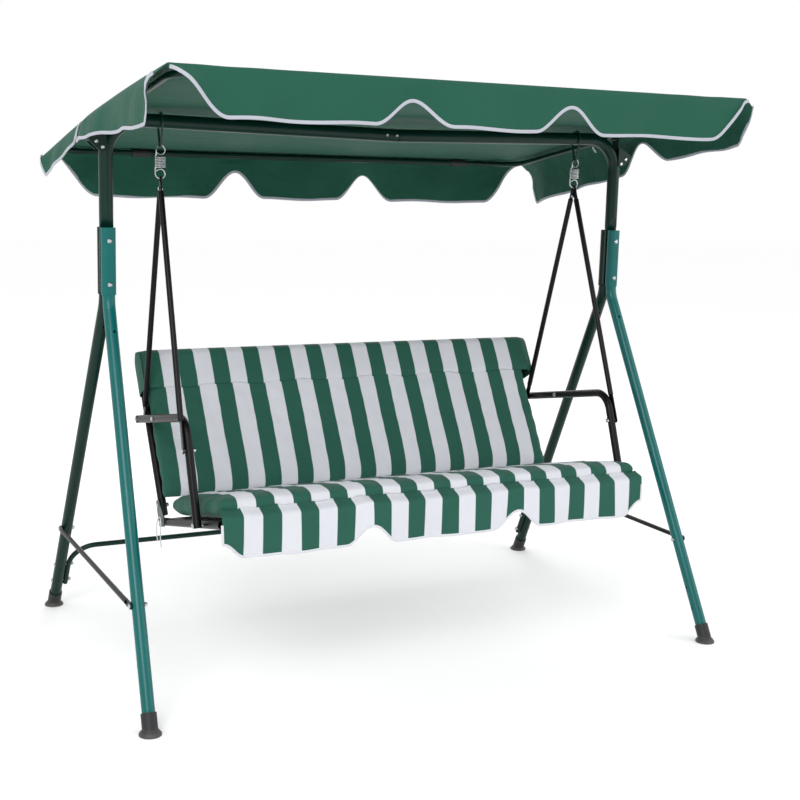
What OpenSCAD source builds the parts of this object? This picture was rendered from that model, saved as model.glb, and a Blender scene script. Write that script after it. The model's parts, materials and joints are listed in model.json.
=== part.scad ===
/* [Frame] */
// Distance between the left and right feet, centre to centre
foot_span = 1640; // [1500:10:1800]
// Distance between the front and rear feet, centre to centre
foot_depth = 1026; // [900:10:1200]
// Distance between the left and right leg tops
post_span = 1560; // [1450:10:1700]
// Height of the leg tops
leg_top = 1155; // [1100:5:1250]
// Outer diameter of the leg tubes
leg_d = 32; // [28:1:36]
// Outer diameter of the top bar
bar_d = 36; // [32:1:40]
// Height of the top bar where it meets its end bends
bar_h = 1426; // [1400:2:1500]
// How far the top bar dips to its middle joint
bar_dip = 13; // [0:1:20]

/* [Seat] */
// Distance between the side rails, centre to centre
rail_span = 1232; // [1100:4:1300]
// Length of the side rails
rail_l = 481; // [440:1:520]
// Upward tilt of the seat towards its front, in degrees
seat_tilt = 13; // [8:0.5:16]
// Backward lean of the back, in degrees
back_lean = 31; // [25:0.5:36]
// Width of both cushions
cushion_w = 1212; // [1060:4:1216]
// Thickness of both cushions
cushion_t = 52; // [40:1:60]

/* [Canopy] */
// Overall width of the canopy
canopy_w = 1588; // [1500:4:1640]
// Overall depth of the canopy
canopy_depth = 1140; // [1060:4:1200]
// Backward tilt of the canopy, in degrees
canopy_tilt = 8.68; // [6:0.1:10]
// Height of the front, rear and side hanging edges
valance_h = 108; // [80:1:120]

/* [Suspension] */
// Distance between the two springs
spring_span = 1276; // [1260:2:1290]
// Wire diameter of the springs
spring_wire = 3.8; // [3:0.1:4]
// Number of turns in each spring
spring_turns = 7; // [5:2:9]

/* [Hidden] */
$fn = 48;

leg_green = "#127870";
dark_green = "#23493f";
seat_black = "#26262a";
foot_black = "#2b2f33";
zinc = "#c9cdd0";
cloth_green = "#2f6b52";
cloth_white = "#e4e6ec";

// Frame
wall = 1.5;
hole_play = 0.4;
weld_play = 0.8;
bolt_d = 6;
press_w = 38;
press_t = 28;
tongue_t = 8;
press_y = (press_t + tongue_t) / 2;
press_low = leg_top - 170;
leg_bend_r = 90;
leg_end = 8;
post_x = post_span / 2;
foot_x = foot_span / 2;
foot_y = foot_depth / 2;
leg_bolt_z = [leg_top - 33, leg_top - 144];
spare_hole_z = 896;
low_hole_z = [144, 89];
brace_z = 272;
brace_d = 13;
brace_tab_w = 17;
brace_tab_t = 4;
stretcher_d = 15;
stretcher_low = 76;
stretcher_z = 203;
stretcher_bend_r = 75;
foot_flange_d = 54;
foot_sleeve_d = 38;
foot_h = 46;

// The lower leg runs straight from its bend to the foot
leg_out = foot_x - post_x;
leg_fwd = foot_y - press_y;
leg_run = norm([leg_out, leg_fwd]);
leg_drop = press_low - leg_end;
leg_reach = norm([leg_run - leg_bend_r, leg_drop]);
leg_lean = atan2(leg_run - leg_bend_r, leg_drop) + asin(leg_bend_r / leg_reach);
leg_straight = sqrt(leg_reach * leg_reach - leg_bend_r * leg_bend_r);
leg_heading = atan2(leg_fwd, leg_out);

// Point of a left or right, front or rear leg's axis at a height below the bend
function leg_point(side, end, z) =
  let (back = (z - leg_end) * tan(leg_lean))
  [side * (foot_x - back * cos(leg_heading)), end * (foot_y - back * sin(leg_heading)), z];

// Top bar
bar_bend_r = 90;
joint_x = 41;
joint_z = bar_h - bar_dip;
joint_gap = 0.8;
post_round_z = leg_top + 40;
bar_slope_l = atan(bar_dip / (post_x - bar_bend_r + joint_x));
bar_slope_r = atan(bar_dip / (post_x - bar_bend_r - joint_x));
spigot_d = bar_d - 2 * wall - 0.4;
spigot_l = 80;
joint_screw_x = [2, 32];

// Canopy
pivot_z = 1431;
arm_x = 770;
arm_d = 16;
arm_corner_r = 55;
arm_front = 546;
arm_inner_x = 540;
centre_tube_d = 19;
sleeve_l = 55;
cloth_t = 3;
arch = 16;
lug_x = 782;
lug_t = 2.5;
lug_w = 28;
cheek_out = 826;
cheek_low = 1348;
cheek_top = 1382;
cheek_gap = bar_d + 0.6;
pivot_bolt_d = 8;
bracket_bolt = [792, 1356];
bracket_clamp = [808, 1370];

// Suspension
hang_x = spring_span / 2;
hook_wire = 6;
hook_r = bar_d / 2 + 0.8 + hook_wire / 2;
hook_bar_z = bar_h - (post_x - bar_bend_r - hang_x) * tan(bar_slope_l);
hook_eye_r = 5.5;
hook_eye_z = hook_bar_z - 59;
coil_r = 12.1;
coil_pitch = spring_wire + 0.2;
coil_half = spring_turns / 2 * coil_pitch;
eye_r = 12;
eye_up = coil_half + eye_r + spring_wire + 0.7;
swing_z = hook_eye_z - hook_eye_r + hook_wire / 2 + spring_wire / 2 + 0.3;
spring_z = swing_z - eye_up - eye_r;
apex_hole_r = 5;
apex_z = spring_z - eye_up - eye_r + spring_wire / 2 + 1 - apex_hole_r;

// Seat unit, in the side view: y to the rear, z up
seat_d = 22;
corner = [40, 356];
rail_x = rail_span / 2;
arm_rail_x = rail_x + seat_d + 3;
back_l = 470;
arm_rear = [corner.x + (615 - corner.y) * tan(back_lean), 615];
arm_bend = [-219, 692];
arm_low = [-316, 431];
arm_bend_r = 60;
hanger_d = 15;
tab_w = 17;
tab_t = 3;
front_pin_z = 614;
front_pin_y = arm_bend.x
  + (arm_low.x - arm_bend.x) * (arm_bend.y - front_pin_z) / (arm_bend.y - arm_low.y);
front_tab_l = 82;
rear_tab_l = 46;
top_tab_l = 40;
rivet_drop = 24;
rivet_d = 5;
hanger_gap = 2.2;
front_tube_s = rail_l - seat_d / 2;
cross_x = 300;
cross_d = 14;
cross_drop = 1.5;
mesh_wire = 4;
mesh_pitch_x = 80;
mesh_pitch_s = 64;

// Soft parts
cushion_rise = 44;
seat_cushion_from = 76;
seat_cushion_to = 503;
back_cushion_from = 46;
back_cushion_to = 476;
cushion_round = 24;
cushion_shift = -12;
seat_valance_h = 118;
seat_valance_y = -456;
seat_valance_top = 500;
cord_d = 3;
tie_sides = 8;
tie_route = [
  [640, 30, 306], [641, 34, 318], [641, 38, 332], [640, 40, 346], [639, 40, 358],
  [637, 38, 367], [635, 34, 372], [634, 28, 372], [634, 23, 367], [634, 20, 359],
  [635, 19, 348], [636, 18, 334], [637, 16, 320], [637, 13, 306], [636, 10, 293],
];

// Moves the child to a point and turns its +Z towards another point
module aim(p, q) {
  v = q - p;
  translate(p)
    rotate([0, acos(v.z / norm(v)), atan2(v.y, v.x)])
      children();
}

// Points of a rounded corner between two straight runs
function corner_points(from, corner_at, to, r, steps) =
  let (
    u = (corner_at - from) / norm(corner_at - from),
    v = (to - corner_at) / norm(to - corner_at),
    turn = acos(u * v),
    w = (v - u * cos(turn)) / sin(turn),
    start = corner_at - r * tan(turn / 2) * u
  )
  [for (i = [0:steps]) let (a = turn * i / steps) start + r * sin(a) * u + r * (1 - cos(a)) * w];

module ring(d, t) {
  difference() {
    circle(d = d);
    circle(d = d - 2 * t);
  }
}

module tube(d, t, l) {
  linear_extrude(l)
    ring(d, t);
}

// Solid bend that starts along +Z and turns towards +X
module rod_bend(d, r, a) {
  translate([r, 0, 0])
    rotate([90, 0, 180])
      rotate_extrude(angle = a)
        translate([r, 0])
          circle(d = d);
}

// Bent rod: each step is a straight length, a bend radius and a bend angle.
// A hidden ball makes each bend and the length after it one solid.
module rod_run(d, steps, i = 0) {
  s = steps[i];
  if (s[0] > 0)
    cylinder(d = d, h = s[0]);
  if (i > 0)
    sphere(d = d - weld_play);
  translate([0, 0, s[0]]) {
    if (s[2] > 0)
      rod_bend(d, s[1], s[2]);
    if (i < len(steps) - 1)
      translate([s[1] * (1 - cos(s[2])), 0, s[1] * sin(s[2])])
        rotate([0, s[2], 0])
          rod_run(d, steps, i + 1);
  }
}

module tube_run(d, t, steps) {
  difference() {
    rod_run(d, steps);
    rod_run(d - 2 * t, steps);
  }
}

// Outline with two round ends, w wide along X and t deep
module stadium(w, t) {
  circle(d = t);
  square([w - t, t], center = true);
  for (s = [-1, 1])
    translate([s * (w - t) / 2, 0])
      circle(d = t);
}

// Hexagon bolt: button head below z = 0, nut on top of the grip
module bolt(grip, d = bolt_d) {
  translate([0, 0, -0.6 * d])
    cylinder(d1 = 1.3 * d, d2 = 2 * d, h = 0.35 * d);
  translate([0, 0, -0.25 * d])
    cylinder(d = 2 * d, h = 0.25 * d);
  cylinder(d = d, h = grip + 1.1 * d);
  translate([0, 0, grip])
    cylinder(d = 1.9 * d, h = 0.8 * d, $fn = 6);
}

module bolt_hole(grip, d = bolt_d) {
  translate([0, 0, -4])
    cylinder(d = d + hole_play, h = grip + 8);
}

module along_y() {
  rotate([-90, 0, 0])
    children();
}

module along_x(side = 1) {
  rotate([0, 90 * side, 0])
    children();
}

// Mirrors a right-hand part to the left when side is -1
module at_side(side) {
  scale_x = side < 0 ? [1, 0, 0] : [0, 0, 0];
  mirror(scale_x)
    children();
}

// Drawn in the side view and given a width along X
module side_slab(x, w) {
  translate([x, 0, 0])
    rotate([90, 0, 90])
      linear_extrude(w, center = true)
        children();
}

// Bolt places
module leg_bolt_places(side) {
  for (z = leg_bolt_z)
    translate([side * post_x, -(press_y + press_t / 2), z])
      along_y()
        children();
}

module low_bolt_places(side, end) {
  for (z = low_hole_z)
    translate(leg_point(side, end, z))
      along_x(-side)
        translate([0, 0, -leg_d / 2])
          children();
}

module brace_bolt_places(side, end) {
  translate(leg_point(side, end, brace_z))
    along_x(-side)
      translate([0, 0, -leg_d / 2])
        children();
}

// Legs and feet
module leg_body(side, end) {
  translate([side * post_x, end * press_y, press_low])
    rotate([0, 0, atan2(end * leg_fwd, side * leg_out) + 180])
      rotate([0, 180, 0])
        tube_run(leg_d, wall, [[0, leg_bend_r, leg_lean], [leg_straight, 0, 0]]);
}

module leg(side, end) {
  color(end < 0 ? leg_green : dark_green)
    difference() {
      union() {
        leg_body(side, end);
        translate([side * post_x, end * press_y, press_low])
          linear_extrude(leg_top - press_low)
            difference() {
              stadium(press_w, press_t);
              stadium(press_w - 2 * wall, press_t - 2 * wall);
            }
        translate([side * post_x, end * press_y, press_low - weld_play])
          linear_extrude(2 * weld_play)
            stadium(press_w - weld_play, press_t - weld_play);
      }
      leg_bolt_places(side)
        bolt_hole(2 * press_y + press_t);
      low_bolt_places(side, end)
        bolt_hole(leg_d);
      brace_bolt_places(side, end)
        bolt_hole(leg_d);
      translate([side * post_x, end * 150, spare_hole_z])
        rotate([90, 0, 0])
          cylinder(d = bolt_d + hole_play, h = 260, center = true);
    }
}

module foot(side, end) {
  bottom = leg_point(side, end, -20);
  top = leg_point(side, end, foot_h);
  color(foot_black)
    difference() {
      union() {
        translate([side * foot_x, end * foot_y, 0]) {
          cylinder(d = foot_flange_d, h = 4);
          translate([0, 0, 4])
            cylinder(d1 = foot_flange_d, d2 = foot_sleeve_d + 4, h = 7);
        }
        intersection() {
          aim(bottom, top)
            cylinder(d = foot_sleeve_d, h = norm(top - bottom));
          translate([side * foot_x, end * foot_y, 50])
            cube([200, 200, 100], center = true);
        }
      }
      aim(leg_point(side, end, leg_end), leg_point(side, end, 200))
        cylinder(d = leg_d, h = 100);
    }
}

// Top bar
module joint_screw_places() {
  for (x = joint_screw_x)
    translate([x, -bar_d / 2, joint_z + (joint_x - x) * tan(bar_slope_l)])
      along_y()
        children();
}

module bar_post(side) {
  intersection() {
    translate([side * post_x, 0, press_low + 5])
      cylinder(d = bar_d, h = post_round_z - press_low - 5);
    rotate([90, 0, 90])
      linear_extrude(2 * post_span, center = true)
        polygon([
          [-tongue_t / 2, press_low], [tongue_t / 2, press_low], [tongue_t / 2, leg_top],
          [bar_d / 2 + 0.5, post_round_z], [-bar_d / 2 - 0.5, post_round_z], [-tongue_t / 2, leg_top]
        ]);
  }
}

module top_bar_shell(side, slope) {
  run = post_x - bar_bend_r * (1 - cos(90 + slope)) - side * joint_x;
  rise = bar_h - bar_bend_r * sin(90 + slope) - post_round_z;
  translate([side * post_x, 0, post_round_z])
    mirror([side < 0 ? 0 : 1, 0, 0])
      tube_run(bar_d, wall, [[rise, bar_bend_r, 90 + slope], [run / cos(slope) - joint_gap, 0, 0]]);
  bar_post(side);
}

module bar_holes(side) {
  leg_bolt_places(side)
    bolt_hole(2 * press_y + press_t);
  translate([side * bracket_bolt.x, -bar_d / 2 - 3, bracket_bolt.y])
    along_y()
      bolt_hole(bar_d + 6, 5);
}

module top_bar_left() {
  color(dark_green)
    difference() {
      top_bar_shell(-1, bar_slope_l);
      bar_holes(-1);
      joint_screw_places()
        bolt_hole(4, 4);
    }
}

module top_bar_right() {
  color(dark_green)
    difference() {
      union() {
        top_bar_shell(1, bar_slope_r);
        translate([joint_x + joint_gap, 0, joint_z])
          rotate([0, 90 - bar_slope_r, 0])
            cylinder(d = bar_d - weld_play, h = 2 * wall);
        translate([joint_x + wall, 0, joint_z])
          rotate([0, bar_slope_l - 90, 0])
            tube(spigot_d, wall, spigot_l);
      }
      bar_holes(1);
      joint_screw_places()
        bolt_hole(4, 4);
    }
}

module top_bar_screws() {
  color(zinc)
    joint_screw_places() {
      translate([0, 0, -2])
        cylinder(d1 = 5, d2 = 8, h = 2);
      cylinder(d = 4, h = 8);
    }
}

module leg_bolts() {
  color(zinc)
    for (side = [-1, 1])
      leg_bolt_places(side)
        bolt(2 * press_y + press_t);
}

// Rear stretcher: each end runs down inside its rear leg
function mirrored(points) =
  [for (i = [len(points) - 1:-1:0]) [-points[i].x, points[i].y, points[i].z]];

// Rear stretcher: one tube whose ends run up the inside of the rear legs
module rear_stretcher() {
  inset = [(leg_d + stretcher_d) / 2, 0, 0];
  low = leg_point(-1, 1, stretcher_low) + inset;
  high = leg_point(-1, 1, stretcher_z) + inset;
  past = low - (high - low) / norm(high - low);
  bend = corner_points(low, high, [-high.x, high.y, high.z], stretcher_bend_r, 8);
  across = cross(high - low, [1, 0, 0]);
  outer = concat([low], bend, mirrored(concat([low], bend)));
  inner = concat([past], bend, mirrored(concat([past], bend)));
  color(dark_green)
    difference() {
      sweep(outer, [for (p = outer) across], stretcher_d / 2, 24);
      sweep(inner, [for (p = inner) across], stretcher_d / 2 - wall, 24);
      for (side = [-1, 1])
        low_bolt_places(side, 1)
          bolt_hole(leg_d + stretcher_d);
    }
}

module stretcher_bolts() {
  color(zinc)
    for (side = [-1, 1])
      low_bolt_places(side, 1)
        bolt(leg_d + stretcher_d + 0.8);
}

// Side braces: round tube with flat ends, on the outside of the legs
module side_brace(side) {
  rear = leg_point(side, 1, brace_z);
  reach = rear.y;
  x = abs(rear.x) + leg_d / 2 + brace_tab_t / 2 + 0.2;
  color(seat_black)
    difference() {
      translate([side * x, 0, brace_z]) {
        translate([0, -(reach - 34), 0])
          along_y()
            tube(brace_d, wall, 2 * (reach - 34));
        for (end = [-1, 1])
          side_slab(0, brace_tab_t) {
            translate([end * (reach - 20), 0])
              square([40, brace_tab_w], center = true);
            translate([end * reach, 0])
              circle(d = brace_tab_w);
          }
      }
      for (end = [-1, 1])
        brace_bolt_places(side, end)
          translate([0, 0, -10])
            bolt_hole(leg_d + 10);
    }
}

module brace_bolts() {
  color(zinc)
    for (side = [-1, 1], end = [-1, 1])
      brace_bolt_places(side, end)
        translate([0, 0, -brace_tab_t - 0.4])
          bolt(leg_d + brace_tab_t + 0.4);
}

// Canopy bracket: two cheeks around the bar's bend, and a lug for the arm's pivot
module canopy_bracket(side) {
  color(dark_green)
    at_side(side)
      difference() {
        union() {
          for (s = [-1, 1])
            translate([0, s * (cheek_gap + lug_t) / 2, 0])
              rotate([90, 0, 0])
                linear_extrude(lug_t, center = true)
                  polygon([
                    [lug_x, cheek_low], [lug_x + 20, cheek_low], [cheek_out, cheek_low + 22],
                    [cheek_out, cheek_top], [lug_x, cheek_top + 24]
                  ]);
          translate([cheek_out - lug_t, -cheek_gap / 2 - lug_t, cheek_low + 22])
            cube([lug_t, cheek_gap + 2 * lug_t, cheek_top - cheek_low - 22]);
          side_slab(lug_x + lug_t / 2, lug_t) {
            translate([-(cheek_gap / 2 + lug_t), cheek_top - 8])
              square([cheek_gap + 2 * lug_t, 26]);
            translate([-lug_w / 2, cheek_top - 8])
              square([lug_w, pivot_z - cheek_top + 8]);
            translate([0, pivot_z])
              circle(d = lug_w);
          }
        }
        translate([post_x, 0, 1300])
          cylinder(d = bar_d + 0.4, h = bar_h - bar_bend_r - 1300 + 2);
        translate([post_x - bar_bend_r, 0, bar_h - bar_bend_r])
          rotate([90, 0, 0])
            rotate_extrude()
              translate([bar_bend_r, 0])
                circle(d = bar_d + 0.4);
        for (p = [bracket_bolt, bracket_clamp])
          translate([p.x, -cheek_gap / 2 - lug_t, p.y])
            along_y()
              bolt_hole(cheek_gap + 2 * lug_t, 5);
        translate([lug_x, 0, pivot_z])
          along_x()
            cylinder(d = pivot_bolt_d + 0.16, h = 20, center = true);
      }
}

module bracket_bolts() {
  color(zinc)
    for (side = [-1, 1], p = [bracket_bolt, bracket_clamp])
      translate([side * p.x, -cheek_gap / 2 - lug_t, p.y])
        along_y()
          bolt(cheek_gap + 2 * lug_t, 5);
}

// Canopy frame
module canopy_plane() {
  translate([0, 0, pivot_z])
    rotate([-canopy_tilt, 0, 0])
      children();
}

module canopy_arm(side) {
  color(dark_green)
    at_side(side)
      difference() {
        canopy_plane()
          translate([arm_inner_x, -arm_front, 0])
            rotate([0, 90, 0])
              rotate([0, 0, 90])
                tube_run(arm_d, wall, [
                  [arm_x - arm_inner_x - arm_corner_r, arm_corner_r, 90],
                  [2 * (arm_front - arm_corner_r), arm_corner_r, 90],
                  [arm_x - arm_inner_x - arm_corner_r, 0, 0]
                ]);
        translate([arm_x, 0, pivot_z])
          along_x()
            cylinder(d = pivot_bolt_d + hole_play, h = 40, center = true);
      }
}

module canopy_centre_tube(end) {
  color(dark_green)
    canopy_plane()
      translate([-arm_inner_x - 20, end * arm_front, 0])
        along_x()
          difference() {
            cylinder(d = centre_tube_d, h = 2 * arm_inner_x + 40);
            translate([0, 0, -1])
              cylinder(d = centre_tube_d - 2 * wall, h = 2 * arm_inner_x + 42);
          }
}

module canopy_tube_sleeves() {
  color(seat_black)
    canopy_plane()
      for (side = [-1, 1], end = [-1, 1])
        translate([side * (arm_inner_x + 20), end * arm_front, 0])
          along_x(-side)
            difference() {
              translate([0, 0, -4])
                cylinder(d = centre_tube_d + 3, h = sleeve_l);
              translate([0, 0, 0])
                cylinder(d = centre_tube_d, h = sleeve_l);
              translate([0, 0, -5])
                cylinder(d = arm_d, h = 10);
            }
}

module canopy_pivot_bolts() {
  color(zinc)
    for (side = [-1, 1])
      translate([side * (lug_x + lug_t + 0.5), 0, pivot_z])
        along_x(-side) {
          translate([0, 0, -4])
            cylinder(d1 = 9, d2 = 15, h = 4);
          cylinder(d = pivot_bolt_d, h = 30);
          translate([0, 0, lug_t + 1])
            difference() {
              cylinder(d = 16, h = 1.6);
              translate([0, 0, -1])
                cylinder(d = pivot_bolt_d - 0.5, h = 4);
            }
          translate([0, 0, 23.4])
            cylinder(d = 14.5, h = 6, $fn = 6);
        }
}

// Canopy cover: arched top with four scalloped hanging edges
function scallop(u, at, half) = abs(u - at) < half ? pow(cos(90 * (u - at) / half), 2) : 0;
function top_line(y) = -y * tan(canopy_tilt) + arch * (1 - pow(2 * y / canopy_depth, 2));
cover_z = pivot_z + arm_d / 2 + 3;
notch_x = 215;
notch_half = 96;
side_notch_half = 120;
corner_cut = 78;
front_steps = 96;
side_steps = 60;
function end_edge(u, h, rise) =
  -h + rise * (scallop(u, -notch_x, notch_half) + scallop(u, notch_x, notch_half))
  + (h - 6) * (scallop(u, -canopy_w / 2, corner_cut) + scallop(u, canopy_w / 2, corner_cut));
function side_edge(u) =
  -valance_h + (valance_h - 12) * scallop(u, 0, side_notch_half)
  + (valance_h - 20) * (scallop(u, -canopy_depth / 2, 60) + scallop(u, canopy_depth / 2, 60));

module end_valance(end, h, rise) {
  z = cover_z + top_line(end * canopy_depth / 2);
  translate([0, end * (canopy_depth / 2 - cloth_t / 2), z])
    rotate([90, 0, 0])
      linear_extrude(cloth_t, center = true)
        polygon(concat(
          [[canopy_w / 2, cloth_t], [-canopy_w / 2, cloth_t]],
          [for (i = [0:front_steps])
            let (u = canopy_w * (i / front_steps - 0.5)) [u, end_edge(u, h, rise)]]
        ));
}

module side_valance(side) {
  side_slab(side * (canopy_w / 2 - cloth_t / 2), cloth_t)
    polygon(concat(
      [for (i = [side_steps:-1:0])
        let (y = canopy_depth * (i / side_steps - 0.5)) [y, cover_z + top_line(y) + cloth_t]],
      [for (i = [0:side_steps])
        let (y = canopy_depth * (i / side_steps - 0.5)) [y, cover_z + top_line(y) + side_edge(y)]]
    ));
}

module canopy_cover() {
  color(cloth_green) {
    side_slab(0, canopy_w)
      polygon(concat(
        [for (i = [0:side_steps])
          let (y = canopy_depth * (i / side_steps - 0.5)) [y, cover_z + top_line(y)]],
        [for (i = [side_steps:-1:0])
          let (y = canopy_depth * (i / side_steps - 0.5)) [y, cover_z + top_line(y) + cloth_t]]
      ));
    end_valance(-1, valance_h, 62);
    end_valance(1, valance_h + 22, 72);
    for (side = [-1, 1])
      side_valance(side);
  }
}

// Hooks: wire loops over the top bar, narrowing to an eye, with their ends meeting below
function hook_arc(r, z, from, to) =
  [for (a = [from:(to - from) / 8:to + 0.01]) [0, r * cos(a), z + r * sin(a)]];

module hook(side) {
  slant = asin((hook_r - hook_eye_r) / (hook_bar_z - hook_eye_z));
  path = concat(
    hook_arc(hook_eye_r, hook_eye_z, -86, -slant),
    hook_arc(hook_r, hook_bar_z, -slant, 90),
    hook_arc(hook_r, hook_bar_z, 101, 180 + slant),
    hook_arc(hook_eye_r, hook_eye_z, 180 + slant, 266)
  );
  color(dark_green)
    translate([side * hang_x, 0, 0])
      sweep(path, [for (p = path) [1, 0, 0]], hook_wire / 2, 12);
}

// Springs: a close coil with an open eye turned up at each end, swept along one path
coil_steps = 12;
turn_r = 4;
half_coil = [for (i = [0:coil_steps * spring_turns / 2])
  let (a = i * 360 / coil_steps)
  [[coil_r * cos(a), coil_r * sin(a), a / 360 * coil_pitch], [0, 0, 1]]];
half_turn = [for (a = [30:30:90])
  [[-coil_r, -turn_r * sin(a), coil_half + turn_r * (1 - cos(a))], [0, sin(a), cos(a)]]];
half_eye = [for (a = [180:-20:-150])
  [[eye_r * cos(a), -turn_r * max(0, a - 100) / 80, eye_up + eye_r * sin(a)], [0, 1, 0]]];
half_spring = concat(half_coil, half_turn, half_eye);
function flip(p) = [p.x, -p.y, -p.z];
spring_path = concat(
  [for (i = [len(half_spring) - 1:-1:1]) [flip(half_spring[i][0]), flip(half_spring[i][1])]],
  [for (p = half_spring) [p[0], p[1]]]
);

// Closed tube of a given radius along points, each with a vector that keeps it from twisting
function sweep_ring(points, refs, i, r, n) =
  let (
    last = len(points) - 1,
    t = points[min(i + 1, last)] - points[max(i - 1, 0)],
    b = cross(t, refs[i]) / norm(cross(t, refs[i])),
    a = cross(b, t) / norm(cross(b, t))
  )
  [for (k = [0:n - 1]) points[i] + r * (cos(360 * k / n) * a + sin(360 * k / n) * b)];

module sweep(points, refs, r, n) {
  count = len(points);
  polyhedron(
    points = [for (i = [0:count - 1]) each sweep_ring(points, refs, i, r, n)],
    faces = concat(
      [[for (k = [0:n - 1]) k]],
      [[for (k = [n - 1:-1:0]) (count - 1) * n + k]],
      [for (i = [0:count - 2], k = [0:n - 1])
        [i * n + k, (i + 1) * n + k, (i + 1) * n + (k + 1) % n]],
      [for (i = [0:count - 2], k = [0:n - 1])
        [i * n + k, (i + 1) * n + (k + 1) % n, i * n + (k + 1) % n]]
    ),
    convexity = 10
  );
}

module spring(side) {
  color(zinc)
    translate([side * hang_x, 0, spring_z])
      sweep([for (p = spring_path) p[0]], [for (p = spring_path) p[1]], spring_wire / 2, 8);
}

// Hangers: tubes pressed flat at both ends
module hanger(p, q, low_tab) {
  l = norm(q - p);
  aim(p, q)
    rotate([0, 0, 90]) {
      translate([0, 0, top_tab_l - 6])
        tube(hanger_d, wall, l - top_tab_l - low_tab + 12);
      for (e = [[-7, top_tab_l + 7], [l - low_tab, low_tab]])
        translate([0, 0, e[0]])
          rotate([90, 0, 90])
            translate([0, 0, -tab_t / 2])
              linear_extrude(tab_t)
                translate([-tab_w / 2 + (e[0] < 0 ? 1.5 : 0), 0])
                  square([tab_w - (e[0] < 0 ? 3 : 0), e[1]]);
      translate([0, 0, l])
        rotate([0, 90, 0])
          cylinder(d = tab_w, h = tab_t, center = true);
    }
}

function hanger_top(side, layer) = [side * (hang_x + layer * (tab_t + 0.2) / 2), 0, apex_z];
function front_low(side) =
  [side * (arm_rail_x + seat_d / 2 + tab_t / 2 + hanger_gap), front_pin_y, front_pin_z];
function rear_low(side) = [side * (rail_x + seat_d / 2 + 1.5), arm_rear.x, arm_rear.y];

module apex_holes(side) {
  translate([side * hang_x, 0, apex_z])
    along_x()
      cylinder(r = apex_hole_r, h = 40, center = true);
  translate([side * hang_x, 0, apex_z - rivet_drop])
    along_x()
      cylinder(d = rivet_d + hole_play, h = 20, center = true);
}

module front_hanger(side) {
  color(seat_black)
    difference() {
      hanger(hanger_top(side, 1), front_low(side), front_tab_l);
      apex_holes(side);
      hanger_bolt_place(side)
        bolt_hole(seat_d + tab_t + 1);
    }
}

module rear_hanger(side) {
  color(seat_black)
    difference() {
      hanger(hanger_top(side, -1), rear_low(side), rear_tab_l);
      apex_holes(side);
      arm_rear_bolt_place(side)
        bolt_hole(2 * seat_d + 4);
    }
}

module hanger_rivets() {
  color(zinc)
    for (side = [-1, 1])
      translate([side * hang_x, 0, apex_z - rivet_drop])
        along_x() {
          cylinder(d = rivet_d, h = 2 * tab_t + 2, center = true);
          for (s = [-1, 1])
            translate([0, 0, s * (tab_t + 1.7)])
              cylinder(d = 9, h = 1.6, center = true);
        }
}

module hanger_bolt_place(side) {
  translate([side * (arm_rail_x + seat_d / 2 + tab_t + hanger_gap + 0.4), front_pin_y, front_pin_z])
    along_x(-side)
      children();
}

module arm_rear_bolt_place(side) {
  translate([side * (arm_rail_x + seat_d / 2), arm_rear.x, arm_rear.y])
    along_x(-side)
      children();
}

module arm_low_bolt_place(side) {
  translate([side * (arm_rail_x + seat_d / 2), arm_low_bolt.x, arm_low_bolt.y])
    along_x(-side)
      children();
}

module hanger_bolts() {
  color(zinc)
    for (side = [-1, 1]) {
      hanger_bolt_place(side)
        bolt(seat_d + tab_t + hanger_gap + 0.6);
      arm_rear_bolt_place(side)
        bolt(2 * seat_d + 3);
    }
}

// Armrests: one tube with a rounded corner, from the back to the seat rail
arm_up = (arm_bend - arm_low) / norm(arm_bend - arm_low);
arm_along = (arm_rear - arm_bend) / norm(arm_rear - arm_bend);
rail_dir = [-cos(seat_tilt), sin(seat_tilt)];
// The armrest crosses the rail where both lines meet in the side view
cross_den = arm_up.x * rail_dir.y - arm_up.y * rail_dir.x;
cross_t = ((corner.x - arm_low.x) * rail_dir.y - (corner.y - arm_low.y) * rail_dir.x) / cross_den;
arm_low_bolt = arm_low + cross_t * arm_up;
spare_bolt_back = 160;
arm_spare = arm_rear - spare_bolt_back * arm_along;

module armrest_tube(side) {
  x = side * arm_rail_x;
  low = [x, arm_low.x, arm_low.y];
  rear = [x, arm_rear.x, arm_rear.y];
  bend = corner_points(low, [x, arm_bend.x, arm_bend.y], rear, arm_bend_r, 8);
  past = low - [0, arm_up.x, arm_up.y];
  outer = concat([low], bend, [rear]);
  inner = concat([past], bend, [rear + rear - bend[8]]);
  difference() {
    sweep(outer, [for (p = outer) [1, 0, 0]], seat_d / 2, 24);
    sweep(inner, [for (p = inner) [1, 0, 0]], seat_d / 2 - wall, 24);
  }
}

module armrest(side) {
  color(seat_black)
    difference() {
      union() {
        armrest_tube(side);
        translate([side * arm_rail_x, arm_rear.x, arm_rear.y])
          along_x()
            cylinder(d = seat_d - weld_play, h = seat_d - 2 * weld_play, center = true);
      }
      arm_rear_bolt_place(side)
        bolt_hole(2 * seat_d + 4);
      hanger_bolt_place(side)
        bolt_hole(seat_d + tab_t + 1);
      arm_low_bolt_place(side)
        bolt_hole(2 * seat_d + 4);
      translate([side * arm_rail_x, arm_spare.x, arm_spare.y])
        along_x()
          cylinder(d = bolt_d + hole_play, h = 40, center = true);
    }
}

module armrest_bolts() {
  color(zinc)
    for (side = [-1, 1]) {
      arm_low_bolt_place(side)
        bolt(2 * seat_d + 3);
      translate([side * (arm_rail_x + seat_d / 2), arm_spare.x, arm_spare.y])
        along_x(-side)
          bolt(seat_d);
    }
}

// Seat frame, drawn with s forward along the rail and n up from it
module seat_plane() {
  translate([0, corner.x, corner.y])
    rotate([-seat_tilt, 0, 0])
      mirror([0, 1, 0])
        children();
}

module back_plane() {
  translate([0, corner.x, corner.y])
    rotate([-back_lean, 0, 0])
      children();
}

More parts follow.
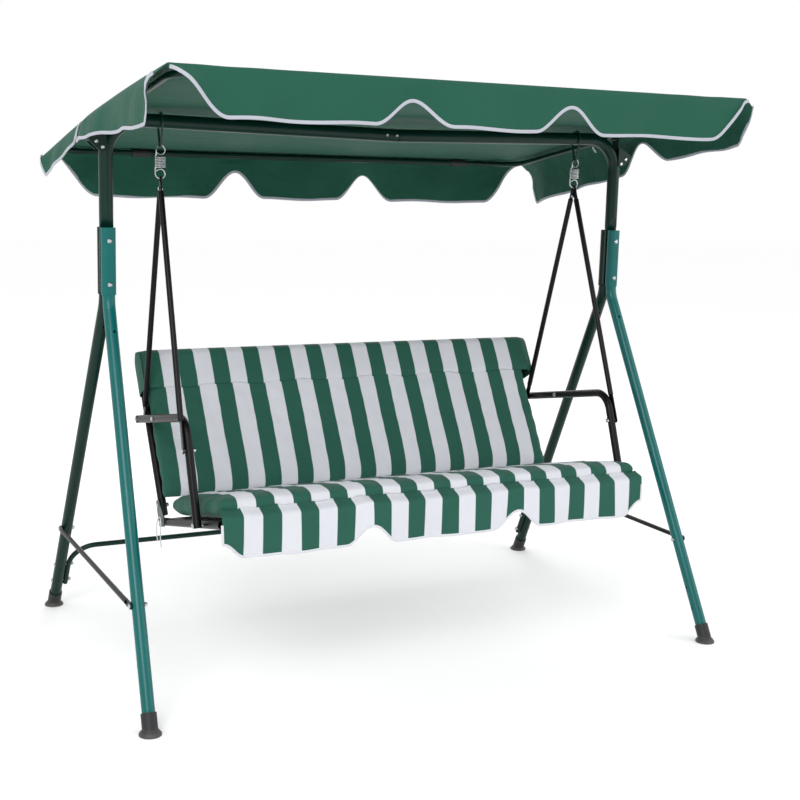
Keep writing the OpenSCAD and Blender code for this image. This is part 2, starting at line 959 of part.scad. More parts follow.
module seat_rail_solid(side, d = seat_d) {
  seat_plane()
    translate([side * rail_x, -18, 0])
      along_y()
        cylinder(d = d, h = rail_l + 18);
}

module seat_rail(side) {
  color(seat_black)
    difference() {
      seat_rail_solid(side);
      seat_plane()
        translate([side * rail_x, -20, 0])
          along_y()
            cylinder(d = seat_d - 2 * wall, h = rail_l + 30);
      arm_low_bolt_place(side)
        bolt_hole(2 * seat_d + 4);
      corner_bolt_places(side)
        bolt_hole(seat_d + 10);
    }
}

module cross_tube_at(s, d) {
  difference() {
    seat_plane()
      translate([-rail_x, s, 0])
        along_x()
          difference() {
            cylinder(d = d, h = rail_span);
            translate([0, 0, -1])
              cylinder(d = d - 2 * wall, h = rail_span + 2);
          }
    for (side = [-1, 1])
      seat_rail_solid(side);
  }
}

module seat_front_tube() {
  color(seat_black)
    cross_tube_at(front_tube_s, seat_d);
}

module seat_rear_tube() {
  color(seat_black)
    cross_tube_at(60, seat_d);
}

module seat_cross_tubes() {
  color(seat_black)
    for (side = [-1, 1])
      seat_plane()
        translate([side * cross_x, 60 + seat_d / 2, -cross_drop])
          along_y()
            tube(cross_d, wall, front_tube_s - 60 - seat_d);
}

module back_side_solid(side) {
  back_plane()
    translate([side * rail_x, 0, 20])
      cylinder(d = seat_d, h = back_l - 20);
}

module back_side(side) {
  color(seat_black)
    difference() {
      back_side_solid(side);
      back_plane()
        translate([side * rail_x, 0, 0])
          cylinder(d = seat_d - 2 * wall, h = back_l - 3);
      arm_rear_bolt_place(side)
        bolt_hole(2 * seat_d + 4);
      corner_bolt_places(side)
        bolt_hole(seat_d + 10);
    }
}

module back_top_tube() {
  color(seat_black)
    difference() {
      back_plane()
        translate([-rail_x, 0, back_l - seat_d / 2 - 2])
          along_x()
            difference() {
              cylinder(d = seat_d, h = rail_span);
              translate([0, 0, -1])
                cylinder(d = seat_d - 2 * wall, h = rail_span + 2);
            }
      for (side = [-1, 1])
        back_side_solid(side);
    }
}

// Corner brackets: flat plates on the outside of the rail and the back's side tube
bracket_t = 2.5;
module corner_bolt_places(side) {
  for (p = [corner + 4 * rail_dir, corner + 48 * [sin(back_lean), cos(back_lean)]])
    translate([side * (rail_x + seat_d / 2 + bracket_t + 0.1), p.x, p.y])
      along_x(-side)
        children();
}

module corner_bracket(side) {
  top = corner + 62 * [sin(back_lean), cos(back_lean)];
  front = corner + 34 * rail_dir;
  color(zinc)
    difference() {
      side_slab(side * (rail_x + seat_d / 2 + bracket_t / 2 + 0.05), bracket_t)
        polygon([
          corner + [8, -15], corner + [19, 0], top + [10, -5], top + [-10, 6],
          front + [0, 12], front + [0, -12]
        ]);
      corner_bolt_places(side)
        bolt_hole(seat_d + 6);
    }
}

module corner_bolts() {
  color(zinc)
    for (side = [-1, 1])
      corner_bolt_places(side)
        bolt(seat_d + bracket_t + 0.1);
}

// Wire support: long wires on top of the end tubes, short wires under them
module wire_mesh(from, to) {
  reach = rail_x - seat_d / 2 - 1;
  rows = floor((to - from) / mesh_pitch_s);
  long_n = seat_d / 2 + mesh_wire / 2 + 0.1;
  for (i = [-7:7])
    translate([i * mesh_pitch_x, from, long_n])
      along_y()
        cylinder(d = mesh_wire, h = to - from);
  for (i = [0:rows])
    translate([-reach, from + 22 + i * (to - from - 44) / rows, long_n - mesh_wire - 0.05])
      along_x()
        cylinder(d = mesh_wire, h = 2 * reach);
}

module seat_mesh() {
  color(seat_black)
    seat_plane()
      wire_mesh(52, front_tube_s + 6);
}

module back_mesh() {
  color(seat_black)
    back_plane()
      rotate([90, 0, 0])
        wire_mesh(60, back_l - seat_d / 2 + 4);
}

// Cushions: plain closed solids with rounded long edges
module padded_profile(from, to, rise) {
  translate([from + cushion_round, rise - cushion_t / 2])
    square([to - from - 2 * cushion_round, cushion_t]);
  for (p = [from + cushion_round, to - cushion_round], q = [-1, 1])
    translate([p, rise + q * (cushion_t / 2 - cushion_round)])
      circle(r = cushion_round);
  translate([from, rise - cushion_t / 2 + cushion_round])
    square([to - from, cushion_t - 2 * cushion_round]);
}

module seat_cushion() {
  color(cloth_green)
    seat_plane()
      side_slab(cushion_shift, cushion_w)
        padded_profile(seat_cushion_from, seat_cushion_to, cushion_rise);
}

module back_cushion() {
  color(cloth_green)
    back_plane()
      mirror([0, 1, 0])
        side_slab(cushion_shift, cushion_w)
          mirror([1, -1, 0])
            padded_profile(back_cushion_from, back_cushion_to, cushion_rise);
}

// Hanging front edge of the seat cover, with three flaps
module seat_valance() {
  color(cloth_white)
    translate([cushion_shift, seat_valance_y, seat_valance_top])
      rotate([90, 0, 0])
        linear_extrude(cloth_t, center = true)
          polygon(concat(
            [[cushion_w / 2, 0], [-cushion_w / 2, 0]],
            [for (i = [0:front_steps])
              let (u = cushion_w * (i / front_steps - 0.5))
              [u, -seat_valance_h + 48 * (scallop(u, -notch_x, 66) + scallop(u, notch_x, 66))
                + 40 * (scallop(u, -cushion_w / 2, 30) + scallop(u, cushion_w / 2, 30))]]
          ));
}

// Tie strings: round the rail's end with two hanging tails
module cushion_tie(side) {
  color(cloth_white)
    at_side(side)
      sweep(tie_route, [for (p = tie_route) [1, 0.1, 0.05]], cord_d / 2, tie_sides);
}

leg(-1, -1);  // front_leg_left
leg(1, -1);  // front_leg_right
leg(-1, 1);  // rear_leg_left
leg(1, 1);  // rear_leg_right
foot(-1, -1);  // front_foot_left
foot(1, -1);  // front_foot_right
foot(-1, 1);  // rear_foot_left
foot(1, 1);  // rear_foot_right
top_bar_left();
top_bar_right();
top_bar_screws();
leg_bolts();
rear_stretcher();
stretcher_bolts();
side_brace(-1);  // side_brace_left
side_brace(1);  // side_brace_right
brace_bolts();
canopy_bracket(-1);  // canopy_bracket_left
canopy_bracket(1);  // canopy_bracket_right
bracket_bolts();
canopy_arm(-1);  // canopy_arm_left
canopy_arm(1);  // canopy_arm_right
canopy_centre_tube(-1);  // canopy_front_tube
canopy_centre_tube(1);  // canopy_rear_tube
canopy_tube_sleeves();
canopy_pivot_bolts();
canopy_cover();
hook(-1);  // hook_left
hook(1);  // hook_right
spring(-1);  // spring_left
spring(1);  // spring_right
front_hanger(-1);  // front_hanger_left
front_hanger(1);  // front_hanger_right
rear_hanger(-1);  // rear_hanger_left
rear_hanger(1);  // rear_hanger_right
hanger_rivets();
hanger_bolts();
armrest(-1);  // armrest_left
armrest(1);  // armrest_right
armrest_bolts();
seat_rail(-1);  // seat_rail_left
seat_rail(1);  // seat_rail_right
seat_front_tube();
seat_rear_tube();
seat_cross_tubes();
back_side(-1);  // back_side_left
back_side(1);  // back_side_right
back_top_tube();
corner_bracket(-1);  // corner_bracket_left
corner_bracket(1);  // corner_bracket_right
corner_bolts();
seat_mesh();
back_mesh();
seat_cushion();
back_cushion();
seat_valance();
cushion_tie(-1);  // cushion_tie_left
cushion_tie(1);  // cushion_tie_right
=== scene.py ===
"""Canopy swing bench: soft goods, springs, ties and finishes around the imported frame."""

import json
import math

import bmesh
import bpy
import numpy as np
from mathutils import Matrix, Vector


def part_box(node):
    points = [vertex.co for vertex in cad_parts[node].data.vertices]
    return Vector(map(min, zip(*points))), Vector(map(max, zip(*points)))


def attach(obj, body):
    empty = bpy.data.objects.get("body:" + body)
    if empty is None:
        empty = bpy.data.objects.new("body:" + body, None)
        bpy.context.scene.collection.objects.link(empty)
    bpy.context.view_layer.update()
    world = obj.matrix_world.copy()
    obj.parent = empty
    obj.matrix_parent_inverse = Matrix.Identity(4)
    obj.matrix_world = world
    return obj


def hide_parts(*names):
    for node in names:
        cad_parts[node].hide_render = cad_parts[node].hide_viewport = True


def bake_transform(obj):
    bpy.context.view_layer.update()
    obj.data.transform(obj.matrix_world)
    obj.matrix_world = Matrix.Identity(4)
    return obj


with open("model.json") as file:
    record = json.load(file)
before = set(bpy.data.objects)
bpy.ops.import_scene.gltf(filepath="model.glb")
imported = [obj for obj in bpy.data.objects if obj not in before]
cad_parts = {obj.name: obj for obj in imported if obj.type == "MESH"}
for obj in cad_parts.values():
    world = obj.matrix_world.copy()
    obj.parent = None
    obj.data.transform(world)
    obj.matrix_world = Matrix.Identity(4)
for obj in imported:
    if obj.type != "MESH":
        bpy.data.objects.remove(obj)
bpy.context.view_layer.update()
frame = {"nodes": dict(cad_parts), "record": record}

bl_info = {
    "name": "Canopy swing bench",
    "version": (1, 0, 0),
    "blender": (4, 5, 0),
    "location": "View3D > Sidebar > Swing bench",
    "description": "Builds the cloth, cushions, springs and finishes of a canopy swing bench",
    "category": "Object",
}

# The CAD boxes that the new pieces are built from
COVER_HIGH = np.array(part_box("canopy_cover")[1])
SPRING_LOW, SPRING_HIGH = (np.array(v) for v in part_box("spring_right"))
VALANCE_LOW, VALANCE_HIGH = (np.array(v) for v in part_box("seat_valance"))
HALF_W = float(COVER_HIGH[0])
HALF_D = float(COVER_HIGH[1])
CANOPY_TILT = math.radians(8.68)
SEAT_TILT = math.radians(13.0)
BACK_LEAN = math.radians(31.0)
CORNER_Y, CORNER_Z = 0.040, 0.356
CUSHION_HALF = float(VALANCE_HIGH[0] - VALANCE_LOW[0]) / 2 + 0.009
CUSHION_MID = float(VALANCE_HIGH[0] + VALANCE_LOW[0]) / 2
HOOD_HALF = 0.631
STRIPES = 25
THREAD_PITCH = 0.0016
ROOF_ARCH = 0.0145
EDGE_IN = 0.004
STUFFING_VOXEL = 0.009
STUFFING_FRAMES = 16

# Middle line of the right-hand tie string, round the end of the seat's rear tube
TIE_ROUTE = np.array([
    (0.640, 0.030, 0.306), (0.641, 0.034, 0.318), (0.641, 0.038, 0.332),
    (0.640, 0.040, 0.346), (0.639, 0.040, 0.358), (0.637, 0.038, 0.367),
    (0.635, 0.034, 0.372), (0.634, 0.028, 0.372), (0.634, 0.023, 0.367),
    (0.634, 0.020, 0.359), (0.635, 0.019, 0.348), (0.636, 0.018, 0.334),
    (0.637, 0.016, 0.320), (0.637, 0.013, 0.306), (0.636, 0.010, 0.293),
])


# ---------------------------------------------------------------- settings

def colour(name, description, default):
    return bpy.props.FloatVectorProperty(
        name=name, description=description, subtype="COLOR", size=3, min=0, max=1, default=default)


def length(name, description, default):
    return bpy.props.FloatProperty(
        name=name, description=description, unit="LENGTH", min=0, default=default)


class SwingCanopySettings(bpy.types.PropertyGroup):
    """Sizes and colours of the canopy."""
    cloth: colour("Cloth", "Colour of the canopy cloth", (0.009, 0.075, 0.047))
    binding: colour("Binding", "Colour of the edge tape", (0.40, 0.42, 0.47))
    binding_width: length("Binding width", "Height of the edge tape", 0.0085)
    drop: length("Front drop", "Depth of the front hanging edge", 0.112)
    rear_drop: length("Rear drop", "Depth of the rear hanging edge", 0.138)
    sag: length("Sag", "How far the top cloth sags between its tubes", 0.012)
    wave: length("Wave", "How far the hanging edges ripple in and out", 0.010)


class SwingCushionSettings(bpy.types.PropertyGroup):
    """Sizes and colours of the cushions."""
    green: colour("Green stripe", "Colour of the dark stripes", (0.014, 0.080, 0.055))
    white: colour("White stripe", "Colour of the pale stripes", (0.60, 0.61, 0.655))
    crown: length("Crown", "How far each cushion swells at its middle", 0.005)
    hood: length("Hood", "Length of the pocket over the top of the back", 0.105)
    swell: length("Swell", "Most that the stuffing may push the case out", 0.005)


class SwingFinishSettings(bpy.types.PropertyGroup):
    """Colours of the hard parts."""
    leg_paint: colour("Front leg paint", "Colour of the front legs", (0.0, 0.105, 0.100))
    # Frame paint: a darker green than the front legs, darkened further as painted shade for the rear
    # legs and top bar that sit under the canopy.
    dark_paint: colour("Frame paint with painted shade", "Colour of the rear legs and top bar", (0.0015, 0.020, 0.014))
    black_paint: colour("Seat paint", "Colour of the seat's tubes", (0.003, 0.003, 0.0035))
    plastic: colour("Foot plastic", "Colour of the feet", (0.012, 0.013, 0.014))
    zinc: colour("Zinc", "Colour of the fasteners and springs", (0.52, 0.53, 0.55))


# ---------------------------------------------------------------- shader maths

class Value:
    """A number that varies over a surface: arithmetic on it adds Math nodes."""

    def __init__(self, paint, socket):
        self.paint, self.socket = paint, socket

    def maths(self, operation, *others):
        sockets = {i: v for i, v in enumerate((self, *others))}
        return self.paint.node("ShaderNodeMath", {"operation": operation}, sockets)

    def __add__(self, other):
        return self.maths("ADD", other)

    def __sub__(self, other):
        return self.maths("SUBTRACT", other)

    def __mul__(self, other):
        return self.maths("MULTIPLY", other)

    def __rsub__(self, other):
        return (self * -1.0) + other

    __radd__ = __add__
    __rmul__ = __mul__

    def fract(self):
        return self.maths("FRACT")

    def sine(self):
        return self.maths("SINE")

    def absolute(self):
        return self.maths("ABSOLUTE")

    def above(self, edge, width):
        """0 below edge, 1 above it, over a band of the given width."""
        return ((self - edge) * (1.0 / width) + 0.5).clamped()

    def clamped(self):
        low = self.maths("MAXIMUM", 0.0)
        return low.maths("MINIMUM", 1.0)


class Paint:
    """One node-based material with a Principled surface."""

    def __init__(self, name, **constants):
        self.material = bpy.data.materials.new(name)
        self.material.use_nodes = True
        self.tree = self.material.node_tree
        self.surface = self.tree.nodes["Principled BSDF"]
        for key, value in constants.items():
            self.surface.inputs[key.replace("_", " ")].default_value = value

    def node(self, kind, settings=None, sockets=None, output=0):
        made = self.tree.nodes.new(kind)
        for key, value in (settings or {}).items():
            setattr(made, key, value)
        for key, value in (sockets or {}).items():
            self.join(value, made.inputs[key])
        return Value(self, made.outputs[output])

    def join(self, value, socket):
        if isinstance(value, Value):
            self.tree.links.new(value.socket, socket)
        else:
            socket.default_value = value

    def position(self):
        return self.node("ShaderNodeTexCoord", output="Object")

    def parts(self):
        axes = self.node("ShaderNodeSeparateXYZ", sockets={0: self.position()})
        outputs = axes.socket.node.outputs
        return [Value(self, outputs[i]) for i in range(3)]

    def noise(self, scale, detail=2.0, rough=0.5, stretch=(1, 1, 1)):
        place = self.node("ShaderNodeMapping", sockets={"Vector": self.position(), "Scale": stretch})
        return self.node("ShaderNodeTexNoise", sockets={
            "Vector": place, "Scale": scale, "Detail": detail, "Roughness": rough})

    def mix(self, amount, a, b):
        sockets = {0: amount, 6: a, 7: b}
        sockets = {k: (*v, 1.0) if isinstance(v, tuple) and len(v) == 3 else v
                   for k, v in sockets.items()}
        return self.node("ShaderNodeMix", {"data_type": "RGBA"}, sockets, output=2)

    def set(self, **inputs):
        for key, value in inputs.items():
            self.join(value, self.surface.inputs[key.replace("_", " ")])
        return self

    def bump(self, height, strength, distance):
        normal = self.node("ShaderNodeBump", sockets={
            "Height": height, "Strength": strength, "Distance": distance})
        return self.set(Normal=normal)


def shade(rgb, gain):
    return tuple(min(1.0, c * gain) for c in rgb)


def tube_paint(name, rgb, rough, coat, fleck=0.12):
    """Sprayed paint on steel tube: faint orange peel, cloudy gloss and small pale scuffs."""
    paint = Paint(name, Coat_Weight=coat, Coat_Roughness=0.18, Specular_IOR_Level=0.18)
    cloud = paint.noise(9.0, 3.0)
    scuff = paint.noise(70.0, 4.0, 0.7, (1, 1, 0.25)).above(0.70, 0.06)
    base = paint.mix(cloud, shade(rgb, 0.82), shade(rgb, 1.18))
    worn = paint.mix(scuff * fleck, base, shade(rgb, 2.2))
    paint.set(Base_Color=worn, Roughness=cloud * 0.12 + scuff * 0.12 + (rough - 0.06))
    return paint.bump(paint.noise(420.0, 2.0) + scuff * -0.2, 0.12, 0.0004).material


def zinc_plate(name, rgb):
    """Bright zinc plate: a crystal cloud in its gloss and dull spots."""
    paint = Paint(name, Metallic=1.0)
    cloud = paint.noise(160.0, 4.0, 0.6)
    spots = paint.noise(38.0, 3.0).above(0.62, 0.10)
    paint.set(Base_Color=paint.mix(spots * 0.4, paint.mix(cloud, shade(rgb, 0.85), shade(rgb, 1.15)),
                                   shade(rgb, 0.6)),
              Roughness=cloud * 0.22 + spots * 0.15 + 0.16)
    return paint.bump(cloud, 0.08, 0.0002).material


def moulded_plastic(name, rgb):
    """Moulded plastic: fine spark grain, paler where it is rubbed near the floor."""
    paint = Paint(name, Specular_IOR_Level=0.4)
    grain = paint.noise(900.0, 2.0)
    cloud = paint.noise(24.0, 4.0, 0.6)
    low = 1.0 - paint.parts()[2].above(0.012, 0.016)
    dusty = paint.mix(low * cloud * 0.7, paint.mix(cloud, shade(rgb, 0.8), shade(rgb, 1.3)),
                      (0.16, 0.15, 0.135))
    paint.set(Base_Color=dusty, Roughness=cloud * 0.15 + grain * 0.08 + 0.42)
    return paint.bump(grain + cloud * 0.3, 0.22, 0.0003).material


def weave_height(across, down, pitch):
    """Plain weave: product of two sine ribs at the thread pitch, raised where threads pass over."""
    turn = math.tau / pitch
    return (across * turn).sine() * (down * turn).sine() * 0.5 + 0.5


def canopy_cloth(name, rgb):
    """Coated polyester: plain weave, cloudy fading, soft creases from folding."""
    paint = Paint(name, Sheen_Weight=0.04, Sheen_Roughness=0.45, Specular_IOR_Level=0.2)
    x, y, z = paint.parts()
    cloud = paint.noise(3.2, 4.0, 0.6)
    crease = paint.noise(7.0, 3.0, 0.6, (1.0, 2.2, 1.6))
    thread = paint.noise(520.0, 2.0, 0.6, (1.0, 0.25, 0.25))
    ribs = weave_height(x, y + z, THREAD_PITCH)
    base = paint.mix(cloud, shade(rgb, 0.86), shade(rgb, 1.16))
    base = paint.mix(thread * 0.25, base, shade(rgb, 1.5))
    paint.set(Base_Color=base, Roughness=cloud * 0.10 + thread * 0.08 + 0.60)
    return paint.bump(crease * 12.0 + cloud * 14.0 + ribs * 0.35 + thread * 0.3, 0.45, 0.0016).material


def striped_cloth(name, green, white, shift):
    """Woven stripes of equal width across the bench, the outermost kept on to the side seams,
    with a plain weave and soft creases."""
    paint = Paint(name, Sheen_Weight=0.04, Sheen_Roughness=0.5, Specular_IOR_Level=0.2)
    x, y, z = paint.parts()
    pair = 4.0 * CUSHION_HALF / STRIPES
    wander = (paint.noise(4.0, 2.0) - 0.5) * 0.006
    reach = CUSHION_HALF - 0.014
    inside = (x - CUSHION_MID).maths("MINIMUM", reach).maths("MAXIMUM", -reach)
    along = ((inside + wander + (shift + pair / 2.0)) * (1.0 / pair)).fract()
    stripe = 1.0 - ((along - 0.5).absolute() * 2.0).above(0.5, 0.03)
    cloud = paint.noise(5.0, 4.0, 0.6)
    thread = paint.noise(620.0, 2.0, 0.6, (1.0, 0.3, 0.3))
    crease = paint.noise(9.0, 3.0, 0.6, (1.6, 1.0, 1.0))
    pale = paint.mix(cloud, shade(white, 0.93), shade(white, 1.05))
    dark = paint.mix(cloud, shade(green, 0.84), shade(green, 1.18))
    dark = paint.mix(thread * 0.3, dark, shade(green, 1.6))
    paint.set(Base_Color=paint.mix(stripe, pale, dark), Roughness=thread * 0.10 + cloud * 0.08 + 0.66)
    ribs = weave_height(x, y + z, THREAD_PITCH)
    return paint.bump(crease * 8.0 + ribs * 0.35 + thread * 0.3, 0.40, 0.0014).material


def edge_tape(name, rgb):
    """White binding tape with a row of stitches: short dark dips every few millimetres."""
    paint = Paint(name, Sheen_Weight=0.2, Specular_IOR_Level=0.3)
    x, y = paint.parts()[:2]
    stitch = ((x + y) * (math.tau / 0.0042)).sine().above(0.55, 0.3)
    rib = paint.noise(700.0, 2.0, 0.6)
    cloud = paint.noise(14.0, 3.0)
    base = paint.mix(cloud, shade(rgb, 0.90), shade(rgb, 1.04))
    paint.set(Base_Color=paint.mix(stitch * 0.22, base, shade(rgb, 0.55)),
              Roughness=rib * 0.12 + 0.66)
    return paint.bump(rib - stitch * 0.8, 0.35, 0.0006).material


# ---------------------------------------------------------------- surfaces

def grid_faces(rows, columns, wrap, first):
    """Quads of a rows x columns grid of points, closing the column direction when wrap is set."""
    wide = columns if wrap else columns - 1
    r, c = np.meshgrid(np.arange(rows - 1), np.arange(wide), indexing="ij")
    n = (c + 1) % columns
    here, beyond = r * columns, (r + 1) * columns
    quads = np.stack([here + c, here + n, beyond + n, beyond + c], -1)
    return quads.reshape(-1, 4) + first


def surface(name, grids, material, merge=1e-5, caps=False):
    """A mesh of one or more point grids. Each grid is (points[rows, columns, 3], wrap)."""
    points, faces, first, ends = [], [], 0, []
    for grid, wrap in grids:
        rows, columns = grid.shape[:2]
        points.append(grid.reshape(-1, 3))
        faces.append(grid_faces(rows, columns, wrap, first))
        ends += [list(range(first + columns - 1, first - 1, -1)),
                 list(range(first + (rows - 1) * columns, first + rows * columns))]
        first += rows * columns
    mesh = bpy.data.meshes.new(name)
    polygons = np.concatenate(faces).tolist() + (ends if caps else [])
    mesh.from_pydata(np.concatenate(points).tolist(), [], polygons)
    shape = bmesh.new()
    shape.from_mesh(mesh)
    bmesh.ops.remove_doubles(shape, verts=shape.verts, dist=merge)
    bmesh.ops.dissolve_degenerate(shape, edges=shape.edges, dist=merge / 2)
    if caps:
        bmesh.ops.recalc_face_normals(shape, faces=shape.faces)
    shape.to_mesh(mesh)
    shape.free()
    mesh.polygons.foreach_set("use_smooth", np.ones(len(mesh.polygons), bool))
    mesh.materials.append(material)
    piece = bpy.data.objects.new(name, mesh)
    bpy.context.scene.collection.objects.link(piece)
    return piece


def carried(path, side, radii, sides=12, round_power=1.0):
    """A closed outline carried along a path: p + a cos(t) s + b sin(t) n, s along side and n
    across it."""
    along = np.gradient(path, axis=0)
    along /= np.linalg.norm(along, axis=1, keepdims=True)
    across = np.cross(along, side)
    across /= np.linalg.norm(across, axis=1, keepdims=True)
    flat = np.cross(across, along)
    turn = np.linspace(0, math.tau, sides, endpoint=False)
    c = np.sign(np.cos(turn)) * np.abs(np.cos(turn)) ** round_power
    s = np.sign(np.sin(turn)) * np.abs(np.sin(turn)) ** round_power
    wide = radii[0] * c[:, None] * flat[:, None]
    return path[:, None] + wide + radii[1] * s[:, None] * across[:, None]


def smooth_step(t):
    t = np.clip(t, 0, 1)
    return t * t * (3 - 2 * t)


def scallop(u, at, half, power=1.0):
    """A bay of one cosine lobe, 1 at its middle and 0 beyond half a width."""
    t = np.clip(np.abs(u - at) / half, 0, 1)
    return np.cos(0.5 * math.pi * t) ** (2 * power)


def finish_piece(piece, body, slot, *nodes):
    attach(piece, body)
    if nodes:
        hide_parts(*nodes)
    return piece


# ---------------------------------------------------------------- canopy

def roof_height(y):
    """Straight slope of the tilted frame plus a low arch from front to back."""
    base = COVER_HIGH[2] - 0.0025 - HALF_D * math.tan(CANOPY_TILT)
    return base - y * math.tan(CANOPY_TILT) + ROOF_ARCH * (1 - (y / HALF_D) ** 2)


def roof_point(x, y, settings):
    """Roof cloth: tilted arch, sagging in the two bays between the tubes, with creases from the
    corners."""
    u, v = x / HALF_W, y / HALF_D
    bay = np.cos(0.5 * math.pi * np.clip(u, -1, 1)) ** 0.8 * np.sin(math.pi * np.abs(v)) ** 2
    corner = np.hypot(1 - np.abs(u), (1 - np.abs(v)) * 0.8)
    pucker = 0.0022 * np.sin(38 * (np.abs(u) - 0.7 * np.abs(v))) * np.exp(-(corner / 0.28) ** 2)
    ripple = 0.0012 * np.sin(9 * u + 3 * v) * (1 - u ** 2) * (1 - v ** 2)
    bump = 0.006 * np.exp(-(corner / 0.07) ** 2)
    edge = smooth_step((1 - np.maximum(np.abs(u), np.abs(v))) / 0.02)
    z = roof_height(y) - settings.sag * bay + (pucker + ripple) * edge + bump * edge
    return np.stack([x, y, z], -1)


def front_edge(u, drop, rise, left, right):
    """Lower edge of the front or rear flap: two bays up from the drop, and cut up to each corner."""
    bays = scallop(u, left, 0.100) + scallop(u, right, 0.100)
    corners = scallop(u, -HALF_W, 0.135) + scallop(u, HALF_W, 0.135)
    return drop - rise * bays - (drop - 0.010) * corners


def side_lower_edge(y, depths, bay, steep, gentle, left_in):
    """Lower edge of a side flap: two straight runs that meet at one bay, cut up to each corner.
    depths are those at the front, before the bay, after the bay and at the rear."""
    corners = scallop(y, -HALF_D, 0.070, 0.8) + scallop(y, HALF_D, 0.070, 0.8)
    notch = np.where(y < bay, scallop(y, bay, steep, 0.9), scallop(y, bay, gentle, 0.9))
    full = np.interp(y, (-HALF_D, bay - 0.002, bay + 0.002, HALF_D), depths)
    return full - (full - left_in) * notch - (full - 0.024) * corners


def flap(start, outward, depth, wave, phase, flare=0.010, bulge=0.0, rows=26):
    """Hanging flap: from each start point it rounds over a seam, then hangs its depth, leaning out,
    rippling more towards its lower edge, puffed out near both corners and bulging over the pivot
    bracket."""
    v = np.linspace(0, 1, rows)[:, None]
    along = np.linspace(0, 1, len(start))[None, :]
    hang = depth[None, :] * v
    seam = flare * (1 - np.exp(-hang / (flare * 0.9)))
    lean = 0.05 * hang
    swing = np.sin(along * 13 + 3 * phase) + 0.6 * np.sin(along * 29 + phase) + 0.3 * np.sin(along * 61)
    fold = wave * v ** 1.4 * swing + 0.35 * wave * np.sin(math.pi * v) * np.sin(along * 43 + phase)
    ends = np.minimum(along, 1 - along)
    puff = 0.014 * np.exp(-(ends / 0.05) ** 2) * np.sin(math.pi * np.minimum(1, hang / 0.09))
    cover = bulge * scallop(start[:, 1], 0, 0.17)[None]
    out = seam + lean + (fold + puff + cover) * np.minimum(1.0, hang / 0.03)
    grid = np.repeat(start[None], rows, 0) + out[..., None] * np.array(outward)
    grid[..., 2] -= hang + 0.0022 * v * np.sin(along * 37 + phase)
    return grid


def canopy_grids(settings):
    x = np.linspace(-HALF_W + EDGE_IN, HALF_W - EDGE_IN, 201)
    y = np.linspace(-HALF_D + EDGE_IN, HALF_D - EDGE_IN, 121)
    gx, gy = np.meshgrid(x, y)
    roof = roof_point(gx, gy, settings)
    front = front_edge(x, settings.drop, 0.060, -0.203, 0.232)
    rear = front_edge(x, settings.rear_drop, 0.082, -0.232, 0.217)
    left = side_lower_edge(y, (0.132, 0.066, 0.050, 0.104), 0.163, 0.035, 0.055, 0.014)
    right = side_lower_edge(y, (0.114, 0.120, 0.128, 0.150), -0.069, 0.13, 0.12, 0.048)
    side_wave = settings.wave * 0.5
    flaps = {
        "front": flap(roof[0], (0, -1, 0), front, settings.wave, 0.4),
        "rear": flap(roof[-1], (0, 1, 0), rear, settings.wave, 1.9),
        "left": flap(roof[:, 0], (-1, 0, 0), left, side_wave, 2.6, 0.026, 0.016),
        "right": flap(roof[:, -1], (1, 0, 0), right, side_wave, 4.1, 0.034, 0.018),
    }
    return roof, flaps


class SWING_OT_canopy(bpy.types.Operator):
    """Build the canopy cloth with its hanging edges and binding"""
    bl_idname = "swing.canopy"
    bl_label = "Canopy"

    def execute(self, context):
        settings = context.scene.swing_canopy
        cloth = canopy_cloth("canopy_weave", tuple(settings.cloth))
        tape = edge_tape("canopy_binding_tape", tuple(settings.binding))
        roof, flaps = canopy_grids(settings)
        turned = {"front": False, "rear": True, "left": True, "right": False}
        grids = [(roof, False)]
        for name, grid in flaps.items():
            grids.append((grid[:, ::-1] if turned[name] else grid, False))
        cover = surface("canopy_sheet", grids, cloth, merge=1e-4)
        shape = bmesh.new()
        shape.from_mesh(cover.data)
        bmesh.ops.recalc_face_normals(shape, faces=shape.faces)
        shape.faces.ensure_lookup_table()
        top = max(shape.faces, key=lambda f: f.calc_center_median().z - abs(f.calc_center_median().x))
        if top.normal.z < 0:
            bmesh.ops.reverse_faces(shape, faces=shape.faces)
        shape.to_mesh(cover.data)
        shape.free()
        thick = cover.modifiers.new("cloth_thickness", "SOLIDIFY")
        thick.thickness = 0.0010
        thick.offset = -1
        finish_piece(cover, "canopy", "canopy_cloth", "canopy_cover")
        half = settings.binding_width / 2
        tapes = []
        for name, grid in flaps.items():
            edge = grid[-1] + (0, 0, half * 0.6)
            tapes.append((carried(edge, np.tile((0.0, 0.0, 1.0), (len(edge), 1)), (half, 0.0016),
                                  round_power=0.6), True))
        binding = surface("canopy_binding", tapes, tape, caps=True)
        finish_piece(binding, "canopy", "canopy_cloth")
        straps = []
        for side in (-1, 1):
            drop = np.linspace(0.012, 0.052, 24)
            bow = np.sin(np.linspace(0, math.pi, 24))
            path = np.stack([side * (HALF_W - 0.012 - 0.010 * bow), 0.10 + 0.004 * bow,
                             roof_height(0.10) - drop], -1)
            straps.append((carried(path, np.tile((0.0, 1.0, 0.0), (24, 1)), (0.005, 0.0008),
                                   round_power=0.6), True))
        strap = surface("canopy_straps", straps, tape, caps=True)
        finish_piece(strap, "canopy", "canopy_cloth")
        return {"FINISHED"}


# ---------------------------------------------------------------- cushions

